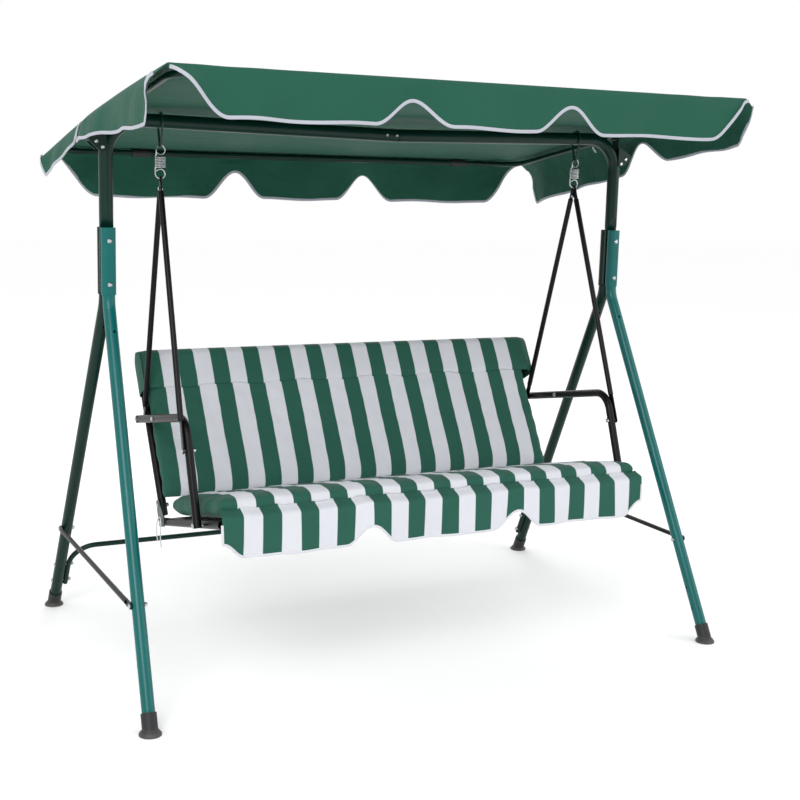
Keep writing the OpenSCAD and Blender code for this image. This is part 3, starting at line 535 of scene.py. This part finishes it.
def cushion_grid(along_from, along_to, middle, thick, crown, case):
    """Crowned pad: a rounded box outline in (along, normal), carried across the width.
    Thickness falls to the side seams as (1 - u^8)^(1/3) and swells by a crown at the middle;
    the long sides pull in between the corners."""
    u = np.linspace(-1, 1, 161)
    turn = np.linspace(0, math.tau, 96, endpoint=False)
    c, s = np.cos(turn), np.sin(turn)
    box_c = np.sign(c) * np.abs(c) ** 0.30
    box_s = np.sign(s) * np.abs(s) ** 0.34
    taper = 0.62 + 0.38 * np.clip(1 - np.abs(u) ** 26, 0, 1) ** 0.42
    pull = 0.006 * (1 - u ** 2) * 0.6
    centre, half = (along_from + along_to) / 2, (along_to - along_from) / 2
    ripple = 0.0018 * np.sin(u * 41 + 1.3 * case) + 0.0012 * np.sin(u * 83 + case)
    along = centre + box_c[None, :] * (half - pull - np.abs(ripple))[:, None]
    inner = 1 - np.abs(box_c[None, :]) ** 4
    rise = (thick / 2 * taper)[:, None] * box_s[None, :] * (0.86 + 0.14 * inner)
    top = (s > 0)[None, :]
    swell = crown * (1 - (u ** 4))[:, None] * inner * np.where(top, 1.0, 0.25)
    across = np.sin(3 * math.pi * (box_c[None, :] * 0.5 + 0.5))
    dents = 0.0014 * np.sin(u * 23 + 2 * case)[:, None] * across
    sewn = taper[:, None]
    normal = middle + rise + swell * np.sign(s)[None, :] * sewn + dents * inner * sewn
    x = CUSHION_MID + np.repeat((CUSHION_HALF - 0.002) * u[:, None], 96, 1)
    return np.stack([x, along, normal], -1)


def hood_grids(size, settings):
    """Pocket over the top of the back: up the front face, round the top tube in a half circle and down
    behind it, closed at each side by a panel ruled between its front and its back."""
    _, high, middle, thick, place, _ = size
    v = np.linspace(0, 1, 64)
    u = np.linspace(-1, 1, 161)
    gv, gu = np.meshgrid(v, u, indexing="ij")
    lead, trail = np.clip(gv / 0.38, 0, 1), np.clip((gv - 0.62) / 0.38, 0, 1)
    arc = np.clip((gv - 0.38) / 0.24, 0, 1) * math.pi
    front_n = middle + thick / 2 + settings.swell + 0.006
    back_n = -0.0145
    mid_n, half_n = (front_n + back_n) / 2, (front_n - back_n) / 2
    crown = 0.004 * (1 - gu ** 4) - 0.014 * smooth_step((np.abs(gu) - 0.955) / 0.045)
    bend_at = high - 0.012
    hem = high - settings.hood + 0.003 * np.sin(gu * 17) + 0.002 * np.sin(gu * 41)
    behind = np.where(gv > 0.62, bend_at - (bend_at - hem) * trail, bend_at + 0.030 * np.sin(arc))
    along = np.where(gv < 0.38, hem + (bend_at - hem) * lead, behind)
    normal = mid_n + (half_n + crown) * np.sign(np.cos(arc)) * np.abs(np.cos(arc)) ** 0.8
    normal = normal - 0.006 * np.exp(-lead * 10) * (gv < 0.38)
    cloth = place(np.stack([HOOD_HALF * gu, along, normal], -1))
    front, rear = cloth[:32], cloth[:31:-1]
    w = np.linspace(0, 1, 14)[None, :, None]
    sides = [front[:, None, end] * (1 - w) + rear[:, None, end] * w for end in (0, -1)]
    bulge = 0.003 * np.sin(math.pi * w)
    sides = [side + bulge * np.array((sign, 0, 0)) for side, sign in zip(sides, (-1, 1))]
    return [(cloth[:, ::-1], False), (sides[0][:, ::-1], False), (sides[1], False)]


def on_seat(p):
    """Seat plane: along runs forward and up by the seat tilt, normal is square to it."""
    x, a, n = p[..., 0], p[..., 1], p[..., 2]
    return np.stack([x, CORNER_Y - a * math.cos(SEAT_TILT) + n * math.sin(SEAT_TILT),
                     CORNER_Z + a * math.sin(SEAT_TILT) + n * math.cos(SEAT_TILT)], -1)


def on_back(p):
    """Back plane: along runs up and leans back, normal faces the sitter."""
    x, a, n = p[..., 0], p[..., 1], p[..., 2]
    return np.stack([x, CORNER_Y + a * math.sin(BACK_LEAN) - n * math.cos(BACK_LEAN),
                     CORNER_Z + a * math.cos(BACK_LEAN) + n * math.sin(BACK_LEAN)], -1)


def stuff(piece, cap):
    """Fill a case with stuffing: remesh evenly, blow it up as pressurised cloth without gravity,
    and let no point move further than cap."""
    context = bpy.context
    for other in context.selected_objects:
        other.select_set(False)
    context.view_layer.objects.active = piece
    piece.select_set(True)
    remesh = piece.modifiers.new("even_mesh", "REMESH")
    remesh.mode = "VOXEL"
    remesh.voxel_size = STUFFING_VOXEL
    remesh.use_smooth_shade = True
    bpy.ops.object.modifier_apply(modifier=remesh.name)
    count = len(piece.data.vertices)
    before = np.empty(count * 3)
    piece.data.vertices.foreach_get("co", before)
    cloth = piece.modifiers.new("stuffing", "CLOTH")
    cloth.settings.quality = 4
    cloth.settings.use_pressure = True
    cloth.settings.uniform_pressure_force = 4
    cloth.settings.effector_weights.gravity = 0
    cloth.settings.tension_stiffness = 20
    cloth.settings.compression_stiffness = 8
    cloth.settings.shrink_min = -0.01
    cloth.point_cache.frame_start = 1
    cloth.point_cache.frame_end = STUFFING_FRAMES
    for step in range(1, STUFFING_FRAMES + 1):
        context.scene.frame_set(step)
    bpy.ops.object.modifier_apply(modifier=cloth.name)
    after = np.empty(count * 3)
    piece.data.vertices.foreach_get("co", after)
    move = (after - before).reshape(-1, 3)
    size = np.linalg.norm(move, axis=1, keepdims=True)
    move *= np.minimum(1.0, cap / np.maximum(size, 1e-9))
    piece.data.vertices.foreach_set("co", (before.reshape(-1, 3) + move).ravel())
    piece.data.update()
    context.scene.frame_set(1)


def crumple(piece, case):
    """Shallow creases in a filled case: along each normal, depth times the product of two slanting
    sine waves, deeper towards the two side seams."""
    mesh = piece.data
    count = len(mesh.vertices)
    place, normal = np.empty(count * 3), np.empty(count * 3)
    mesh.vertices.foreach_get("co", place)
    mesh.vertices.foreach_get("normal", normal)
    place, normal = place.reshape(-1, 3), normal.reshape(-1, 3)
    x, y, z = place.T
    seam = np.exp(-np.maximum(0, CUSHION_HALF - np.abs(x - CUSHION_MID)) / 0.05)
    wave = np.sin(71 * x + 83 * y + 35 * z + case) * np.sin(29 * x - 47 * z + 1.7 * case)
    fine = np.sin(23 * x + case) * np.sin(140 * y + 60 * z + 9 * np.sin(19 * x))
    depth = 0.0011 * wave + 0.0006 * fine + 0.0012 * seam * wave
    mesh.vertices.foreach_set("co", (place + normal * depth[:, None]).ravel())
    mesh.update()


class SWING_OT_cushions(bpy.types.Operator):
    """Build the seat and back cushions with their seams and pocket"""
    bl_idname = "swing.cushions"
    bl_label = "Cushions"

    def execute(self, context):
        settings = context.scene.swing_cushion
        green, white = tuple(settings.green), tuple(settings.white)
        stripes = striped_cloth("cushion_stripes", green, white, 0.0)
        hood_stripes = striped_cloth("hood_stripes", green, white, 0.004)
        sizes = {"seat": (0.080, 0.497, 0.044, 0.046, on_seat, 1.0),
                 "back": (0.050, 0.470, 0.044, 0.046, on_back, 2.0)}
        made = {}
        for name, (low, high, middle, thick, place, case) in sizes.items():
            grid = cushion_grid(low, high, middle, thick, settings.crown, case)
            pad = surface(name + "_cushion_case", [(place(grid), True)], stripes, caps=True)
            stuff(pad, settings.swell)
            crumple(pad, case)
            smooth = pad.modifiers.new("even_cloth", "SUBSURF")
            smooth.levels = smooth.render_levels = 1
            finish_piece(pad, "seat", "stripe_cloth", name + "_cushion")
            made[name] = pad
        hood = surface("back_hood_pocket", hood_grids(sizes["back"], settings), hood_stripes)
        wall = hood.modifiers.new("cloth_thickness", "SOLIDIFY")
        wall.thickness = 0.0012
        wall.offset = 0
        finish_piece(hood, "seat", "stripe_cloth")
        return {"FINISHED"}


class SWING_OT_seat_valance(bpy.types.Operator):
    """Build the striped front edge that hangs from the seat cushion"""
    bl_idname = "swing.seat_valance"
    bl_label = "Seat valance"

    def execute(self, context):
        settings = context.scene.swing_cushion
        cloth = striped_cloth("valance_stripes", tuple(settings.green), tuple(settings.white), -0.007)
        tape = edge_tape("valance_binding_tape", tuple(settings.white))
        x = np.linspace(-CUSHION_HALF, CUSHION_HALF, 241)
        across = x + CUSHION_MID
        drop = VALANCE_HIGH[2] - VALANCE_LOW[2]
        bays = scallop(x, -0.215, 0.070) + scallop(x, 0.215, 0.070)
        corners = scallop(x, -CUSHION_HALF, 0.06) + scallop(x, CUSHION_HALF, 0.06)
        depth = drop - 0.046 * bays - 0.038 * corners
        front_y = (VALANCE_LOW[1] + VALANCE_HIGH[1]) / 2
        v = np.linspace(0, 1, 30)[:, None]
        over = smooth_step(1 - v / 0.22)
        ripple = 0.005 * v ** 1.4 * (np.sin(x * 27) + 0.5 * np.sin(x * 61 + 1))[None]
        y = front_y - 0.004 * np.sin(v * math.pi * 0.6) + 0.030 * over ** 2 - ripple
        z = VALANCE_HIGH[2] + 0.006 - depth[None] * v - 0.004 * over * np.abs(np.sin(x * 40))[None]
        grid = np.stack([np.repeat(across[None], 30, 0), y + 0 * x[None], z], -1)
        hanging = surface("seat_valance_cloth", [(grid[:, ::-1], False)], cloth, merge=1e-6)
        wall = hanging.modifiers.new("cloth_thickness", "SOLIDIFY")
        wall.thickness = 0.0012
        wall.offset = 0
        finish_piece(hanging, "seat", "stripe_cloth", "seat_valance")
        side_from = grid[12:, 0][::-1]
        side_to = grid[12:, -1]
        lower = np.concatenate([side_to[:-1], grid[-1][::-1], side_from[1:]])
        facing = np.tile((0.0, -1.0, 0.0), (len(lower), 1))
        edge = carried(lower, facing, (0.0016, 0.0034), round_power=0.8)
        hem = surface("seat_valance_binding", [(edge, True)], tape, caps=True)
        finish_piece(hem, "seat", "stripe_cloth")
        turned_over = 0.022
        area = float(depth.mean() + turned_over) * 2 * CUSHION_HALF
        return {"FINISHED"}


# ---------------------------------------------------------------- springs and ties

def spring_path(centre_z):
    """Half a spring: a close coil (r cos a, r sin a, pitch a / turn), a short turn up, and an open
    eye. The other half is the same, turned over about X. Returns points and the vectors that
    steady the wire."""
    wire, turns, coil_r, eye_r, turn_r = 0.0038, 7, 0.0121, 0.012, 0.004
    pitch = wire + 0.0002
    coil_half = turns / 2 * pitch
    eye_up = coil_half + eye_r + wire + 0.0007
    a = np.linspace(0, math.pi * turns, 24 * turns // 2 + 1)
    coil = np.stack([coil_r * np.cos(a), coil_r * np.sin(a), a / math.tau * pitch], -1)
    b = np.radians([20, 45, 70, 90])
    lift = np.stack([np.full(4, -coil_r), -turn_r * np.sin(b), coil_half + turn_r * (1 - np.cos(b))], -1)
    e = np.radians(np.linspace(180, -150, 34))
    aside = -turn_r * np.maximum(0, np.degrees(e) - 100) / 80
    eye = np.stack([eye_r * np.cos(e), aside, eye_up + eye_r * np.sin(e)], -1)
    half = np.concatenate([coil, lift, eye])
    steady = np.concatenate([np.tile((0.0, 0.0, 1.0), (len(a), 1)),
                             np.stack([0 * b, np.sin(b), np.cos(b)], -1),
                             np.tile((0.0, 1.0, 0.0), (len(e), 1))])
    turned = np.array((1.0, -1.0, -1.0))
    path = np.concatenate([(half * turned)[:0:-1], half])
    ref = np.concatenate([(steady * turned)[:0:-1], steady])
    path[:, 2] += centre_z
    return path, ref, wire / 2


class SWING_OT_springs(bpy.types.Operator):
    """Build the two coil springs that carry the seat"""
    bl_idname = "swing.springs"
    bl_label = "Springs"

    def execute(self, context):
        zinc = zinc_plate("spring_zinc", tuple(context.scene.swing_finish.zinc))
        low, high = SPRING_LOW, SPRING_HIGH
        path, ref, r = spring_path((low[2] + high[2]) / 2)
        centre = (low[0] + high[0]) / 2
        for side, name in ((-1, "left"), (1, "right")):
            place = path + (side * centre, 0, 0)
            coil = surface("spring_coil_" + name, [(carried(place, ref, (r, r), sides=12), True)],
                           zinc, caps=True)
            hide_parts("spring_" + name)
            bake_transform(coil)
        return {"FINISHED"}


class SWING_OT_ties(bpy.types.Operator):
    """Build the two white tie strings at the back corners of the seat"""
    bl_idname = "swing.ties"
    bl_label = "Tie strings"

    def execute(self, context):
        tape = edge_tape("tie_tape", tuple(context.scene.swing_cushion.white))
        steps = np.linspace(0, len(TIE_ROUTE) - 1, 85)
        for side, name in ((-1, "left"), (1, "right")):
            route = TIE_ROUTE * (side, 1, 1)
            near = np.floor(steps).astype(int).clip(0, len(route) - 2)
            t = (steps - near)[:, None]
            before, after = route[np.maximum(near - 1, 0)], route[np.minimum(near + 2, len(route) - 1)]
            a, b = route[near], route[near + 1]
            path = 0.5 * (2 * a + (b - before) * t + (2 * before - 5 * a + 4 * b - after) * t ** 2
                          + (3 * a - before - 3 * b + after) * t ** 3)
            ring = carried(path, np.tile((1.0, 0.1, 0.05), (len(path), 1)), (0.0015, 0.0015), sides=12)
            string = surface("tie_string_" + name, [(ring, True)], tape, caps=True)
            finish_piece(string, "seat", "tie_cord", "cushion_tie_" + name)
        return {"FINISHED"}


# ---------------------------------------------------------------- finishes and stage

class SWING_OT_finishes(bpy.types.Operator):
    """Give every frame part its paint, plating or plastic"""
    bl_idname = "swing.finishes"
    bl_label = "Hard finishes"

    def execute(self, context):
        settings = context.scene.swing_finish
        finishes = {
            "leg_paint": tube_paint("leg_paint_green", tuple(settings.leg_paint), 0.26, 0.22),
            # The frame paint holds painted shade for the parts under the canopy; the hook paint is a
            # paler copy of it and carries that painted shade too.
            "dark_paint": tube_paint("frame_paint_dark_with_painted_shade", tuple(settings.dark_paint), 0.32, 0.08),
            "hook_paint": tube_paint("hook_paint_green_with_painted_shade", shade(tuple(settings.dark_paint), 1.3),
                                     0.36, 0.3),
            "black_paint": tube_paint("seat_paint_black", tuple(settings.black_paint), 0.38, 0.02, 0.1),
            "foot_plastic": moulded_plastic("foot_plastic_black", tuple(settings.plastic)),
            "zinc": zinc_plate("fastener_zinc", tuple(settings.zinc)),
        }
        slots = {s["node"]: s["material_slot"] for s in frame["record"]["subparts"]}
        for node, piece in frame["nodes"].items():
            finish = finishes.get(slots.get(node))
            if finish is None:
                continue
            for slot in piece.material_slots:
                slot.material = finish
        return {"FINISHED"}


def plain(name, rgb, rough):
    paint = Paint(name)
    cloud = paint.noise(1.5, 2.0)
    paint.set(Base_Color=paint.mix(cloud, shade(rgb, 0.995), shade(rgb, 1.005)), Roughness=rough)
    return paint.material


def softbox(name, place, aim, size, power):
    light = bpy.data.lights.new(name, "AREA")
    light.shape = "RECTANGLE"
    light.size, light.size_y = size
    light.energy = power
    lamp = bpy.data.objects.new(name, light)
    lamp.location = place
    lamp.rotation_euler = (Vector(aim) - Vector(place)).to_track_quat("-Z", "Y").to_euler()
    bpy.context.scene.collection.objects.link(lamp)


class SWING_OT_stage(bpy.types.Operator):
    """Set up the camera, floor and studio light"""
    bl_idname = "swing.stage"
    bl_label = "Stage"

    def execute(self, context):
        scene = context.scene
        yaw, pitch, roll = 0.4696, -0.1695, 0.027
        level = math.cos(pitch)
        ahead = Vector((math.sin(yaw) * level, math.cos(yaw) * level, math.sin(pitch)))
        right = Vector((math.cos(yaw), -math.sin(yaw), 0))
        up = right.cross(ahead)
        across = right * math.cos(roll) + up * math.sin(roll)
        above = up * math.cos(roll) - right * math.sin(roll)
        turn = Matrix((across, above, -ahead)).transposed().to_4x4()
        lens = bpy.data.cameras.new("camera")
        lens.sensor_width = 36
        lens.lens = 59.86
        lens.clip_end = 100
        camera = bpy.data.objects.new("camera", lens)
        camera.matrix_world = Matrix.Translation((-1.6458, -3.3848, 1.3129)) @ turn
        scene.collection.objects.link(camera)
        scene.camera = camera
        bpy.ops.mesh.primitive_plane_add(size=40)
        floor = context.object
        floor.name = "studio_floor"
        floor.data.materials.append(plain("studio_floor_white", (0.985, 0.985, 0.985), 0.9))
        world = bpy.data.worlds.new("studio")
        world.use_nodes = True
        back = world.node_tree.nodes["Background"]
        back.inputs["Color"].default_value = (1.0, 1.0, 1.0, 1)
        back.inputs["Strength"].default_value = 1.0
        scene.world = world
        softbox("key_light", (-3.0, -3.6, 3.4), (0, 0, 0.8), (2.4, 2.4), 110)
        softbox("fill_light", (3.6, -2.6, 2.2), (0, 0, 0.7), (2.6, 2.6), 35)
        softbox("rim_light", (1.5, 3.6, 3.2), (0, 0, 1.0), (2.6, 1.6), 40)
        scene.view_settings.view_transform = "Standard"
        return {"FINISHED"}


class SWING_PT_panel(bpy.types.Panel):
    """Sidebar list of the bench's pieces"""
    bl_label = "Swing bench"
    bl_idname = "SWING_PT_panel"
    bl_space_type = "VIEW_3D"
    bl_region_type = "UI"
    bl_category = "Swing bench"

    def draw(self, context):
        for group in ("swing_canopy", "swing_cushion", "swing_finish"):
            settings = getattr(context.scene, group)
            box = self.layout.box()
            for key in settings.__annotations__:
                box.prop(settings, key)
        for operator in OPERATORS:
            self.layout.operator(operator.bl_idname)


SETTINGS = {
    "swing_canopy": SwingCanopySettings,
    "swing_cushion": SwingCushionSettings,
    "swing_finish": SwingFinishSettings,
}
OPERATORS = (
    SWING_OT_stage, SWING_OT_ties, SWING_OT_canopy, SWING_OT_cushions,
    SWING_OT_seat_valance, SWING_OT_springs, SWING_OT_finishes,
)
CLASSES = (*SETTINGS.values(), *OPERATORS, SWING_PT_panel)


def register():
    for item in CLASSES:
        bpy.utils.register_class(item)
    for name, group in SETTINGS.items():
        setattr(bpy.types.Scene, name, bpy.props.PointerProperty(type=group))


def unregister():
    for name in SETTINGS:
        delattr(bpy.types.Scene, name)
    for item in reversed(CLASSES):
        bpy.utils.unregister_class(item)


def main():
    register()
    bpy.ops.swing.stage()
    bpy.ops.swing.ties()
    bpy.ops.swing.canopy()
    bpy.ops.swing.cushions()
    bpy.ops.swing.seat_valance()
    bpy.ops.swing.springs()
    bpy.ops.swing.finishes()


if __name__ == "__main__":
    main()
